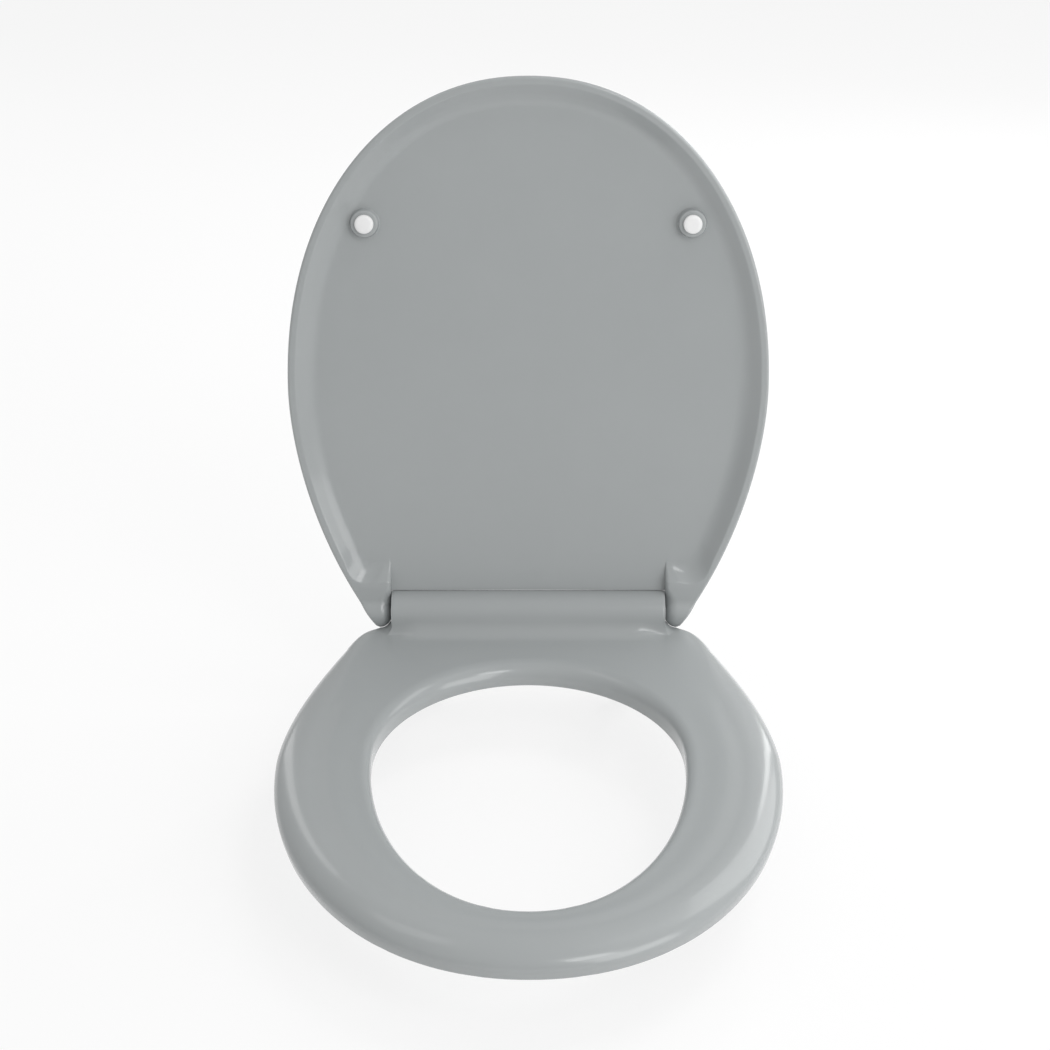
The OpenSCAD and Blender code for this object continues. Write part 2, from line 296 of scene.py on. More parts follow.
def barrel_outline():
    """The hinge barrel's outline, (forward, up) and its outward direction, to the foot."""
    middle = np.array([sqrt((BARREL_R + BLEND_R) ** 2 - (SHOULDER + BLEND_R) ** 2),
                       SHOULDER + BLEND_R])
    start = atan2(middle[1], middle[0])
    turn = np.linspace(-pi / 2, start - pi, BLEND_ROWS + 1)[1:]
    blend = middle + BLEND_R * np.stack([np.cos(turn), np.sin(turn)], 1)
    away = -np.stack([np.cos(turn), np.sin(turn)], 1)
    end = 2 * pi - acos(RING_REAR_S / BARREL_R)
    turn = np.linspace(start, end, ROUND_ROWS + 1)[1:]
    out = np.stack([np.cos(turn), np.sin(turn)], 1)
    low = np.linspace(BARREL_R * sin(end), RIM, FOOT_ROWS + 1)[1:]
    wall = np.stack([np.full(FOOT_ROWS, RING_REAR_S), low], 1)
    back = np.tile([-1.0, 0], (FOOT_ROWS, 1))
    return np.concatenate([blend, BARREL_R * out, wall]), np.concatenate([away, out, back])


def faded(outline, share):
    """The outline with the barrel's blend into the plate lowered, for the barrel's end."""
    outline = outline.copy()
    ahead, up = outline[:BLEND_ROWS].T
    outline[:BLEND_ROWS, 1] = up - share * 0.97 * (up - SHOULDER) * ease(ahead, 15.5, 21)
    return outline


def edge_rows(reach, drop, top, power=2.15):
    """Rows (inset, up) from the flat top over the shoulder and down the wall to the foot."""
    inset, fall = rounding(EDGE_ROWS + 1, reach, drop, power)
    edge = np.stack([inset[::-1][1:], top - fall[::-1][1:]], 1)
    share = np.linspace(0, 1, WALL_ROWS + 1)[1:]
    wall = np.stack([1.2 * share ** 1.5, top - drop + (RIM + 0.8 - top + drop) * share], 1)
    turn = np.linspace(0, pi / 2, FOOT_ROWS + 1)[1:]
    foot = np.stack([2 - 0.8 * np.cos(turn), RIM + 0.8 - 0.8 * np.sin(turn)], 1)
    return np.concatenate([edge, wall, foot])


def ring_section(turn, guide, outer):
    """One closed section of the ring as (across, forward, up) rows. Outer holds its rows
    from the guide point on the flat top round the outer edge to the foot."""
    out = np.array([sin(turn), cos(turn)])
    hole = plan(turn, hole_radius(turn))
    soft = ease(turn, radians(100), radians(160))
    drop = 6 + 7 * soft
    inset, fall = rounding(19, 9 + 6 * soft, drop, 2.1)
    share = np.linspace(0, 1, 4)[:, None]
    wall = np.hstack([hole + out * (0.3 - 0.3 * share), RIM + 3 + (17 - drop) * share])
    edge = np.hstack([hole + out * inset[1:, None], (SHOULDER - fall[1:])[:, None]])
    share = np.linspace(0, 1, 11)[1:, None]
    start = edge[-1, :2]
    band = np.hstack([start + (guide - start) * share, np.full((10, 1), SHOULDER)])
    foot = outer[-1]
    low = wall[0]
    closing = [foot + (low - foot) * 0.12, foot + (low - foot) * 0.5, foot + (low - foot) * 0.8]
    closing[0][2] = RIM
    section = np.vstack([wall, edge, band, outer, closing])
    # The crown of the band, which fades away towards the hinge
    first = len(wall) + len(edge)
    last = first + len(band) + FLAT_ROWS
    path = section[first:last, :2]
    walked = np.concatenate([[0], np.cumsum(np.hypot(*np.diff(path, axis=0).T))])
    fade = 1 - ease(turn, radians(105), radians(136))
    section[first:last, 2] += CROWN * fade * np.sin(pi * walked / walked[-1]) ** 2
    return section


def side_section(turn):
    """A section of the ring at the front and the sides, straight out from the middle."""
    out = np.array([sin(turn), cos(turn)])
    edge = plan(turn, ring_radius(turn))
    share = 0.35 + 0.65 * ease(180 - degrees(turn), 38, 60)
    rows = edge_rows(SIDE_REACH * share, SIDE_DROP, SHOULDER, 2.0)
    start = edge - out * SIDE_REACH * share
    guide = start - out * 9
    steps = np.linspace(0, 1, FLAT_ROWS + 1)[1:, None]
    flat = np.hstack([guide + (start - guide) * steps, np.full((FLAT_ROWS, 1), SHOULDER)])
    wall = np.hstack([edge - out * rows[:, :1], rows[:, 1:]])
    return guide, np.vstack([flat, wall])


def flare_path(share):
    """Outer rows beside the barrel's end. Share 0 is at the barrel's end face, 1 on the plate.
    The rear edge keeps clear of the lid's lug, which turns in front of it."""
    outline = faded(barrel_outline()[0], 1)
    rear = 8.5
    for _ in range(3):
        ahead = np.concatenate([outline[:BLEND_ROWS, 0],
                                np.linspace(outline[BLEND_ROWS - 1, 0], rear,
                                            FLAT_ROWS - BLEND_ROWS + 1)[1:]])
        dome = lug_rounding(ahead)
        top = LID_RIM + dome
        height = np.minimum(outline[:FLAT_ROWS, 1], top)
        height[BLEND_ROWS:] = top[BLEND_ROWS:]
        least = np.arcsin(np.clip((top - height) / (dome + 1.5), 0, 1))
        angle = least + (pi / 2 - least) * share
        across = BARREL_END + 0.05 + (dome + 0.75) * (1 - np.cos(angle))
        up = top - (dome + 1.5) * np.sin(angle)
        turned = np.clip((across[-1] - LUG_X) / LUG_DOME, 0, 1)
        clear = LUG_R - LUG_DOME * (1 - sqrt(1 - (1 - turned) ** 2)) + 0.55
        rear = max(RING_REAR_S + 0.4, sqrt(max(clear ** 2 - up[-1] ** 2, 0)))
    flat = np.stack([across, ahead, up], 1)
    behind = np.linspace(rear, RING_REAR_S, EDGE_ROWS + 1)[1:]
    level = np.minimum(up[-1], -np.sqrt(np.maximum(clear ** 2 - behind ** 2, 0)))
    level[clear < behind] = up[-1]
    near = np.clip((RING_REAR_S + 0.4 - behind) / 0.4, 0, 1)
    level = level - 0.4 * (1 - np.sqrt(np.maximum(1 - near ** 2, 0)))
    rows = edge_rows(0.4, 0.4, level[-1] + 0.4, 2.0)
    rows[:EDGE_ROWS] = np.stack([behind - RING_REAR_S, level], 1)
    wall = np.stack([np.full(len(rows), across[-1]), RING_REAR_S + rows[:, 0], rows[:, 1]], 1)
    return np.vstack([flat, wall])


def ring_grid():
    """Sections of the ring's right half, from the middle of the front to the middle of the rear."""
    sections = []
    last_side = radians(136)
    for turn in np.linspace(0, last_side, 76):
        guide, outer = side_section(turn)
        sections.append(ring_section(turn, guide, outer))
    # Rear corner: from the last side section to the first one that runs straight back
    flare = flare_path(1.0)
    end_guide = np.array([flare[0, 0], GUIDE_S])
    end_turn = pi - atan2(end_guide[0], MID_S - GUIDE_S)
    start_guide, _ = side_section(last_side)
    for share in np.linspace(0, 1, 18)[1:-1]:
        outline_turn = last_side + (radians(146.3) - last_side) * share
        edge = plan(outline_turn, ring_radius(outline_turn))
        guide = start_guide + (end_guide - start_guide) * share
        way = (guide - edge) / np.hypot(*(guide - edge))
        reach = SIDE_REACH * (0.35 + 0.65 * ease(44, 38, 60)) * (1 - share) + 2.5 * share
        rows = edge_rows(reach, SIDE_DROP + (2.2 - SIDE_DROP) * share, SHOULDER)
        wall = np.hstack([edge + way * rows[:, :1], rows[:, 1:]])
        # The lid's lug turns above this corner
        round_lug = -np.sqrt(np.maximum((LUG_R + 0.6) ** 2 - wall[:, 1] ** 2, 0))
        wall[:, 2] = np.minimum(wall[:, 2], round_lug)
        start = edge + way * reach
        steps = np.linspace(0, 1, FLAT_ROWS + 1)[1:, None]
        flat = np.hstack([guide + (start - guide) * steps, np.full((FLAT_ROWS, 1), SHOULDER)])
        turn = last_side + (end_turn - last_side) * share
        sections.append(ring_section(turn, guide, np.vstack([flat, wall])))
    for share in np.linspace(1, 0, 15):
        outer = flare_path(share)
        guide = np.array([outer[0, 0], GUIDE_S])
        sections.append(ring_section(pi - atan2(guide[0], MID_S - GUIDE_S), guide, outer))
    # End face of the barrel, and the rounding of its edge
    outline, away = barrel_outline()
    straight, outline = outline, faded(outline, 1)
    face = flare_path(0.0)
    gap = np.hypot(*(face[:, 1:] - outline).T)
    edge = 0.9 * np.clip(gap / 6, 0, 1)
    edge[BLEND_ROWS + ROUND_ROWS - 5:] *= np.clip(
        np.linspace(1, -1, len(edge) - BLEND_ROWS - ROUND_ROWS + 5), 0, 1)
    rim = outline - away * edge[:, None]
    for share in (0.25, 0.55, 0.85):
        middle = face[:, 1:] + (rim - face[:, 1:]) * share
        across = face[:, 0] + (BARREL_END - face[:, 0]) * share
        outer = np.column_stack([across, middle])
        guide = np.array([outer[0, 0], GUIDE_S])
        sections.append(ring_section(pi - atan2(guide[0], MID_S - GUIDE_S), guide, outer))
    for angle in np.linspace(pi / 2, 0, 6):
        across = BARREL_END - edge * (1 - sin(angle)) - 0.02 * (1 - angle)
        outer = np.column_stack([across, outline - away * (edge * (1 - cos(angle)))[:, None]])
        guide = np.array([outer[0, 0], GUIDE_S])
        sections.append(ring_section(pi - atan2(guide[0], MID_S - GUIDE_S), guide, outer))
    for across in np.linspace(108.2, 0, 28):
        outline = faded(straight, ease(across, 88, BARREL_END))
        outer = np.column_stack([np.full(len(outline), across), outline])
        guide = np.array([across, GUIDE_S])
        sections.append(ring_section(pi - atan2(across, MID_S - GUIDE_S), guide, outer))
    half = np.array(sections)
    other = half[-2:0:-1] * (-1, 1, 1)
    return np.concatenate([half, other])

# Distances inwards from the lid's outline at which its underside has a row of points
LID_REACHES = np.array([23.9, 21.6, 19.4, 17.2, 15.1, 13.4, 12.6, 11.2, 9.8, 8.4, 7.2, 6.7, 6.2,
                        5.7, 5.2])
LID_SIDE_END, LID_CORNER_END = radians(137), radians(148.85)
LUG_ARM_S = 21.8
LUG_TOP, LUG_TOP_END = radians(70), 18.6
DISH_GUIDE_S = 55.0


def dish(reach):
    """Depth of the underside at a distance inwards from the rim's outline."""
    bend = np.clip(reach - 5.2, 0, 1.5)
    slope = np.clip(reach - 6.7, 0, 6.3)
    fillet = np.clip(reach - 13, 0, 10.9)
    return 0.24 * bend ** 2 + 0.72 * slope + 0.72 * (fillet - fillet ** 2 / 21.8)


def lid_reach(points, arm):
    """Distance inwards from the outline, and from the front of the lug's arm if there is one."""
    across, ahead = points[..., 0], points[..., 1] - MID_S
    reach = lid_radius(np.arctan2(across, ahead)) - np.hypot(across, ahead)
    if not arm:
        return reach
    front = points[..., 1] - LUG_ARM_S
    mix = np.clip(0.5 + (front - reach) / 32, 0, 1)
    return front + (reach - front) * mix - 4 * mix * (1 - mix)


def lid_dome(points):
    across, ahead = points[..., 0], points[..., 1] - MID_S
    share = np.hypot(across, ahead) / (lid_radius(np.arctan2(across, ahead)) - 26.8)
    return DOME * (1 - np.minimum(share, 1) ** 2)


def underside(points, arm, inset=0.0):
    """Height of the lid's underside. An inset lifts the lug's surface at its inner edge."""
    rise = LID_RIM + lid_dome(points)
    low = rise + dish(lid_reach(points, arm))
    if not arm:
        return low
    low = np.minimum(low + inset, np.maximum(rise + DISH, LID_RIM + inset))
    radius = LUG_R - inset
    ahead = points[..., 1]
    nose = -np.sqrt(np.maximum(radius ** 2 - np.minimum(ahead, radius) ** 2, 0))
    nose = nose + 3 * np.maximum(ahead - radius, 0)
    return np.where(ahead < 0, nose, lowest(nose, low))


def upper_side(points, inset=0.0):
    """Height of the lid's top, with the lugs' round backs."""
    plate = LID_RIM + DISH + PLATE + lid_dome(points)
    radius = LUG_R - inset
    ahead = points[..., 1]
    top_s, top_z = radius * cos(LUG_TOP), radius * sin(LUG_TOP)
    nose = np.sqrt(np.maximum(radius ** 2 - np.minimum(abs(ahead), radius) ** 2, 0))
    share = np.clip((ahead - top_s) / (LUG_TOP_END - top_s), 0, 1)
    slope = top_z + (plate - top_z) * share
    return np.where(ahead < top_s, nose, np.where(ahead < LUG_TOP_END, slope, plate))


def lid_column(guide, low, high, top_guide):
    """One column of the lid, from the middle of the dish round the edge to the middle of the
    top. Low and high hold its rows from the guide point to the edge and back."""
    middle = np.array([0.0, MID_S])
    inner = middle + (guide - middle) * np.linspace(0, 1, 12)[1:-1, None]
    outer = middle + (top_guide - middle) * np.linspace(1, 0, 10)[1:-1, None]
    return np.vstack([np.column_stack([inner, underside(inner, False)]), low, high,
                      np.column_stack([outer, upper_side(outer)])])


def lug_stations():
    """Distances ahead of the axis that the lug's rows take: below, and back over the top."""
    turning = LUG_EDGE_S
    flat = np.array([22.5, 18, 15, 12.8, 11, turning])
    start = atan2(LID_RIM, turning)
    nose = LUG_R * np.cos(np.linspace(start, radians(-150), 11)[1:])
    over = LUG_R * np.cos(np.linspace(radians(120), LUG_TOP, 7)[1:])
    back = np.concatenate([np.linspace(over[-1], LUG_TOP_END, 6)[1:],
                           np.linspace(LUG_TOP_END, DISH_GUIDE_S, 6)[1:]])
    return np.concatenate([flat, nose]), np.concatenate([over, back])


def at_stations(start, end, ahead):
    """Points on the line from start to end at the given distances ahead of the axis."""
    share = np.clip((ahead - start[1]) / (end[1] - start[1]), 0, 1)[:, None]
    return start + (end - start) * share


def spread(points, edge, corner):
    """A corner column's points, moved outwards clear of the lug's domed inner edge."""
    ahead = points[:, 1]
    guide = lug_point(DISH_GUIDE_S, 1.0)[0]
    last = plan(LID_CORNER_END, lid_radius(LID_CORNER_END))
    straight = np.interp(ahead, [last[1], guide[1]], [last[0], guide[0]])
    margin = 0.4 - 0.4 * ease(ahead, 18, 40)
    short = np.maximum(LUG_X + lug_rounding(ahead) + margin - straight, 0)
    away = np.clip(np.hypot(*(points - edge).T) / 10, 0, 1)
    return points + np.column_stack([short * corner ** 2 * away, np.zeros(len(points))])


def rim_column(turn, corner):
    """A column of the lid that ends at its outline. Corner goes from 0 on the sides to 1 at
    the outer rear end of the lug."""
    edge = plan(turn, lid_radius(turn))
    inwards = 27.5 + 14 * ease(turn, radians(118), LID_SIDE_END)
    guide = plan(min(turn, LID_SIDE_END), lid_radius(min(turn, LID_SIDE_END)) - inwards)
    guide = guide + (lug_point(DISH_GUIDE_S, 1.0)[0] - guide) * corner
    out = (edge - guide) / np.hypot(*(edge - guide))
    steps = np.linspace(0, 1, 500)[:, None]
    path = guide + (edge - guide) * steps
    found = np.minimum.accumulate(lid_reach(path, True))
    rows = guide + (edge - guide) * np.interp(-LID_REACHES, -found, steps[:, 0])[:, None]
    scale = min(1.0, 0.03 + (edge[1] + LUG_R) / 7)
    turn_in = 2.4 * scale
    end = edge - out * turn_in
    flat = rows[-1] + (end - rows[-1]) * np.linspace(0, 1, 17)[1:, None]
    below, above = lug_stations()
    if corner > 0:
        matched = at_stations(rows[-1], end, below)
        flat = spread(flat + (matched - flat) * ease(corner, 0, 0.5), edge, corner)
    low = np.vstack([guide[None], rows, flat])
    low = np.column_stack([low, underside(low, True)])
    angle = np.linspace(0, pi / 2, 9)[1:, None]
    bottom = edge - out * turn_in * (1 - np.sin(angle))
    rise = turn_in * (1 - np.cos(angle[:, 0]))
    bottom = np.column_stack([bottom, underside(bottom, True) + rise])
    reach = (16 - 11 * ease(corner, 0, 0.7)) * scale
    drop = (11.4 - 6.4 * ease(corner, 0, 0.7)) * scale
    inset, fall = rounding(15, reach, drop, 2.5)
    top = edge - out * inset[:, None]
    top = np.column_stack([top, upper_side(top) - fall])
    top[:, 2] = np.maximum(top[:, 2], bottom[-1, 2] + 0.02)
    wall = bottom[-1] + (top[0] - bottom[-1]) * np.linspace(0, 1, 4)[1:-1, None]
    start = top[-1, :2]
    back = start + (guide - start) * np.linspace(0, 1, 17)[1:, None]
    if corner > 0:
        matched = at_stations(start, guide, np.maximum(above, start[1]))
        back = spread(back + (matched - back) * ease(corner, 0, 0.5), edge, corner)
    back = np.column_stack([back, upper_side(back)])
    return lid_column(guide, np.vstack([low, bottom, wall]), np.vstack([top[1:], back]), guide)


def lug_point(ahead, share):
    """Place and inset on the lug's domed inner edge: share 0 at its inner face, 1 on its flat."""
    dome = lug_rounding(ahead)
    across = LUG_X + dome * (1 - cos(share * pi / 2))
    return np.stack([across, np.full_like(across, ahead)], -1), dome * (1 - sin(share * pi / 2))


def lug_column(share):
    """A column over the lug's inner edge and its nose."""
    final = LUG_DOME * (1 - sin(share * pi / 2))
    radius = LUG_R - final
    turning = sqrt(radius ** 2 - (LID_RIM + final) ** 2)
    ahead = LUG_ARM_S + LID_REACHES
    ahead = np.concatenate([[DISH_GUIDE_S], ahead, [22.5, 18, 15, 12.8, 11]])
    points, inset = lug_point(ahead, share)
    height = [underside(point, True, each) for point, each in zip(points, inset)]
    low = np.column_stack([points, height])
    start = atan2(LID_RIM + final, turning)
    angle = np.concatenate([np.linspace(start, radians(-150), 11),
                            np.linspace(radians(-150), -pi, 9)[1:]])
    across = LUG_X + LUG_DOME * (1 - cos(share * pi / 2))
    nose = np.column_stack([np.full(19, across), radius * np.cos(angle), radius * np.sin(angle)])
    ahead_of = (nose[:, 1] > 0) & (nose[:, 2] < 0)
    nose[ahead_of, 2] = lowest(nose[ahead_of, 2], LID_RIM + final)
    tip = nose[-1:] + np.array([[0, 0, 0.01], [0, 0, 0.02]])
    angle = np.concatenate([np.linspace(pi, radians(120), 15)[1:],
                            np.linspace(radians(120), LUG_TOP, 7)[1:]])
    over = np.column_stack([np.full(20, across), radius * np.cos(angle), radius * np.sin(angle)])
    ahead = np.concatenate([np.linspace(over[-1, 1], LUG_TOP_END, 6)[1:],
                            np.linspace(LUG_TOP_END, DISH_GUIDE_S, 6)[1:]])
    points, _ = lug_point(ahead, share)
    across = across + (points[:, 0] - across) * ease(ahead, 8, LUG_TOP_END)
    points = np.column_stack([across, ahead])
    back = np.column_stack([points, upper_side(points, final)])
    guide = lug_point(DISH_GUIDE_S, share)[0]
    return lid_column(guide, np.vstack([low, nose, tip]), np.vstack([over, back]), guide)


def plate_column(across):
    """A column that ends at the hollow edge in which the barrel turns."""
    guide = np.array([across, DISH_GUIDE_S])
    low_z = underside(np.array([across, 19.5]), False)
    edge_s = sqrt(RELIEF_R ** 2 - (low_z + 0.3) ** 2)
    ahead = LUG_ARM_S + LID_REACHES
    ahead = np.concatenate([[DISH_GUIDE_S], ahead, np.linspace(ahead[-1], edge_s + 0.3, 17)[1:]])
    points = np.column_stack([np.full(len(ahead), across), ahead])
    low = np.column_stack([points, underside(points, False)])
    angle = np.linspace(0, pi / 2, 9)[1:]
    lower = np.column_stack([np.full(8, across), edge_s + 0.3 - 0.3 * np.sin(angle),
                             low[-1, 2] + 0.3 - 0.3 * np.cos(angle)])
    top_z = upper_side(np.array([across, 19.5]))
    up = np.linspace(lower[-1, 2], top_z - 0.8, 4)[1:-1]
    wall = np.column_stack([np.full(2, across), np.sqrt(RELIEF_R ** 2 - up ** 2), up])
    last_s = sqrt(RELIEF_R ** 2 - (top_z - 0.8) ** 2)
    angle = np.linspace(0, pi / 2, 21)[1:]
    upper = np.column_stack([np.full(20, across), last_s + 0.8 - 0.8 * np.cos(angle),
                             top_z - 0.8 + 0.8 * np.sin(angle)])
    ahead = np.concatenate([np.linspace(upper[-1, 1], upper[-1, 1] + 0.1, 6)[1:],
                            np.linspace(upper[-1, 1] + 0.1, DISH_GUIDE_S, 6)[1:]])
    points = np.column_stack([np.full(10, across), ahead])
    measured = np.column_stack([points[:, 0], np.maximum(ahead, LUG_TOP_END + 0.01)])
    back = np.column_stack([points, upper_side(measured)])
    return lid_column(guide, np.vstack([low, lower, wall]), np.vstack([upper, back]), guide)


def lid_grid():
    """Columns of the closed lid all the way round, from the front."""
    columns = [rim_column(turn, 0.0) for turn in np.linspace(0, LID_SIDE_END, 76)]
    for share in np.linspace(0, 1, 16)[1:]:
        turn = LID_SIDE_END + (LID_CORNER_END - LID_SIDE_END) * share
        columns.append(rim_column(turn, share))
    columns += [lug_column(share) for share in np.linspace(1, 0, 11)]
    inner, plate = columns[-1], plate_column(LUG_X)
    columns += [inner + (plate - inner) * share for share in (0.3, 0.6)]
    columns += [plate] + [plate_column(across) for across in np.linspace(LUG_X - 1, 0, 28)]
    half = np.array(columns)
    return np.concatenate([half, half[-2:0:-1] * (-1, 1, 1)])


def opened(points):
    """Turns points of the closed lid about the hinge axis to its open place."""
    across, ahead, up = points[..., 0], points[..., 1], points[..., 2]
    return np.stack([across, ahead * cos(OPEN) - up * sin(OPEN),
                     ahead * sin(OPEN) + up * cos(OPEN)], -1)


def in_metres(points):
    """From (across, forward, up from the axis) in millimetres to the frame's metres."""
    return np.stack([points[..., 0], -points[..., 1], points[..., 2] + AXIS_Z], -1) * MM


def clear_selection():
    bpy.ops.object.select_all(action="DESELECT")


def shape(name, points):
    """Names the new piece and moves its vertices to points, given in vertex order."""
    piece = bpy.context.object
    piece.name = name
    piece.data.name = name
    piece.data.vertices.foreach_set("co", in_metres(points).ravel())
    piece.data.update()
    return piece


def vertex_array(piece):
    found = np.zeros(len(piece.data.vertices) * 3)
    piece.data.vertices.foreach_get("co", found)
    return found.reshape(-1, 3)


def closed_band(name, grid):
    """A ring of closed sections: a torus whose vertices are moved to the grid's points."""
    clear_selection()
    columns, rows = grid.shape[:2]
    bpy.ops.mesh.primitive_torus_add(major_segments=columns, minor_segments=rows,
                                     major_radius=1, minor_radius=0.3)
    across, ahead, up = vertex_array(bpy.context.object).T
    column = np.rint(np.arctan2(ahead, across) / (2 * pi) * columns).astype(int) % columns
    angle = np.arctan2(up, np.hypot(across, ahead) - 1)
    row = np.rint(angle / (2 * pi) * rows).astype(int) % rows
    return shape(name, grid[column, row])


def closed_cap(name, grid, first, last):
    """A closed shell of columns between two poles: a sphere whose vertices are moved."""
    clear_selection()
    columns, rows = grid.shape[:2]
    bpy.ops.mesh.primitive_uv_sphere_add(segments=columns, ring_count=rows + 1, radius=1)
    across, ahead, up = vertex_array(bpy.context.object).T
    column = np.rint(np.arctan2(ahead, across) / (2 * pi) * columns).astype(int) % columns
    row = np.rint(np.arccos(np.clip(up, -1, 1)) / pi * (rows + 1)).astype(int)
    padded = np.concatenate([np.tile(first, (columns, 1, 1)), grid,
                             np.tile(last, (columns, 1, 1))], 1)
    return shape(name, padded[column, row])


def tidy_mesh(piece, angle=32):
    """Closes seams, turns the faces outwards and smooths all but the sharp edges."""
    clear_selection()
    piece.select_set(True)
    bpy.context.view_layer.objects.active = piece
    bpy.ops.object.mode_set(mode="EDIT")
    bpy.ops.mesh.select_all(action="SELECT")
    bpy.ops.mesh.remove_doubles(threshold=0.000005)
    bpy.ops.mesh.normals_make_consistent(inside=False)
    bpy.ops.object.mode_set(mode="OBJECT")
    bpy.ops.object.shade_smooth_by_angle(angle=radians(angle))


def hand_over(piece, body, slot, material, *replaced):
    """Gives a finished piece its material, its body and the nodes it stands for."""
    piece.data.materials.clear()
    piece.data.materials.append(material)
    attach(piece, body)
    if replaced:
        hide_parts(*replaced)


def cut(piece, cutter, operation="DIFFERENCE"):
    """Applies a Boolean with a cutter, which is then deleted."""
    tidy_mesh(cutter)
    clear_selection()
    piece.select_set(True)
    bpy.context.view_layer.objects.active = piece
    modifier = piece.modifiers.new("cut", "BOOLEAN")
    modifier.operation = operation
    modifier.solver = "MANIFOLD"
    modifier.object = cutter
    bpy.ops.object.modifier_apply(modifier=modifier.name)
    bpy.data.objects.remove(cutter, do_unlink=True)


def bevel(piece, width, segments=3, angle=30):
    """Rounds the piece's sharp edges."""
    clear_selection()
    piece.select_set(True)
    bpy.context.view_layer.objects.active = piece
    modifier = piece.modifiers.new("rounding", "BEVEL")
    modifier.width = width * MM
    modifier.segments = segments
    modifier.limit_method = "ANGLE"
    modifier.angle_limit = radians(angle)
    modifier.use_clamp_overlap = True
    bpy.ops.object.modifier_apply(modifier=modifier.name)


def turned(name, profile, spot, axis="up", sides=72, move=None):
    """A closed turned part. Profile lists (radius, place) from pole to pole, or the whole
    section of a part with a bore. Spot is (across, forward, up) from the hinge axis."""
    radius, along = np.array(profile, float).T
    across, ahead, up = spot
    angle = np.linspace(0, 2 * pi, sides, endpoint=False)[:, None]
    first, second = radius * np.cos(angle), radius * np.sin(angle)
    along = np.broadcast_to(along, first.shape)
    if axis == "up":
        grid = np.stack([across + first, ahead + second, up + along], -1)
    else:
        grid = np.stack([across + along, ahead + first, up + second], -1)
    if move:
        grid = move(grid)
    if radius[0] > 0:
        return closed_band(name, grid)
    return closed_cap(name, grid[:, 1:-1], grid[0, 0], grid[0, -1])


def mirrored(profile, sign):
    return [(radius, sign * place) for radius, place in profile]


def rounded(profile, size, steps=4):
    """The profile with its corners rounded, except at poles."""
    points = [np.array(point, float) for point in profile]
    closed = points[0][0] > 0
    made = []
    for index, corner in enumerate(points):
        if not closed and index in (0, len(points) - 1):
            made.append(tuple(corner))
            continue
        before, after = points[index - 1], points[(index + 1) % len(points)]
        legs = [before - corner, after - corner]
        reach = min([size] + [np.hypot(*leg) * 0.45 for leg in legs])
        start, end = [corner + leg / np.hypot(*leg) * reach for leg in legs]
        for share in np.linspace(0, 1, steps):
            made.append(tuple(start * (1 - share) ** 2 + 2 * corner * share * (1 - share)
                              + end * share ** 2))
    return made


def threaded(name, spot, radius, low, high, pitch=1.25, depth=0.55, sides=40):
    """A screw thread between two heights, with chamfered ends."""
    levels = np.arange(low, high, pitch / 8)
    angle = np.linspace(0, 2 * pi, sides, endpoint=False)[:, None]
    phase = (levels / pitch - angle / (2 * pi)) % 1
    cut_in = depth * np.clip(1.25 * (1 - abs(2 * phase - 1)), 0, 1)
    chamfer = np.clip(1.2 - (levels - low), 0, 1.2) + np.clip(0.6 - (high - levels), 0, 0.6)
    around = radius - np.maximum(cut_in, chamfer)
    across, ahead, up = spot
    grid = np.stack([across + around * np.cos(angle), ahead + around * np.sin(angle),
                     np.broadcast_to(up + levels, around.shape)], -1)
    return closed_cap(name, grid, np.array([across, ahead, up + low]),
                      np.array([across, ahead, up + high]))


def ring_cavity():
    """The hollow under the ring, open below."""
    profile = ((0, 6.3, -3), (0, 6.2, 5), (0, 6, 15.5), (0, 7.5, 18), (0, 11.5, 19.4),
               (1, 9, 19.4), (1, 5.8, 18), (1, 5, 15), (1, 5.6, 5), (1, 5.7, -3))
    columns = []
    for turn in np.linspace(0, 2 * pi, 180, endpoint=False):
        signed = abs((turn + pi) % (2 * pi) - pi)
        outer, hole = ring_radius(np.array(signed)), hole_radius(np.array(signed))
        out = np.array([sin(turn), cos(turn)])
        column = []
        for side, reach, level in profile:
            radius = hole + reach if side else outer - reach
            column.append([*(np.array([0, MID_S]) + out * radius), level - AXIS_Z])
        columns.append(column)
    return closed_band("cavity", np.array(columns))


def prism(name, outline, first, last):
    """A prism along the hinge axis with a (forward, up) outline."""
    clear_selection()
    bpy.ops.mesh.primitive_cylinder_add(vertices=len(outline), radius=1, depth=2,
                                        end_fill_type="NGON")
    piece = bpy.context.object
    points = vertex_array(piece)
    count = len(outline)
    index = np.rint(np.arctan2(points[:, 0], points[:, 1]) / (2 * pi) * count).astype(int) % count
    outline = np.array(outline, float)[index]
    across = np.where(points[:, 2] > 0, last, first)
    return shape(name, np.column_stack([across, outline]))


def arc(radius, start, end, steps, middle=(0, 0)):
    turn = np.radians(np.linspace(start, end, steps))
    return [(middle[0] + radius * cos(a), middle[1] + radius * sin(a)) for a in turn]


RING_BUFFERS = (("front", radians(42)), ("rear", radians(127)))
LID_BUFFER = (126.5, 317.5)
SIGNS = {"left": -1, "right": 1}


def buffer_spot(turn, sign):
    """The middle of the band under the ring, in a direction from the front."""
    turn = np.array(turn)
    across, ahead = plan(turn, (ring_radius(turn) + hole_radius(turn)) / 2)
    return sign * across, ahead


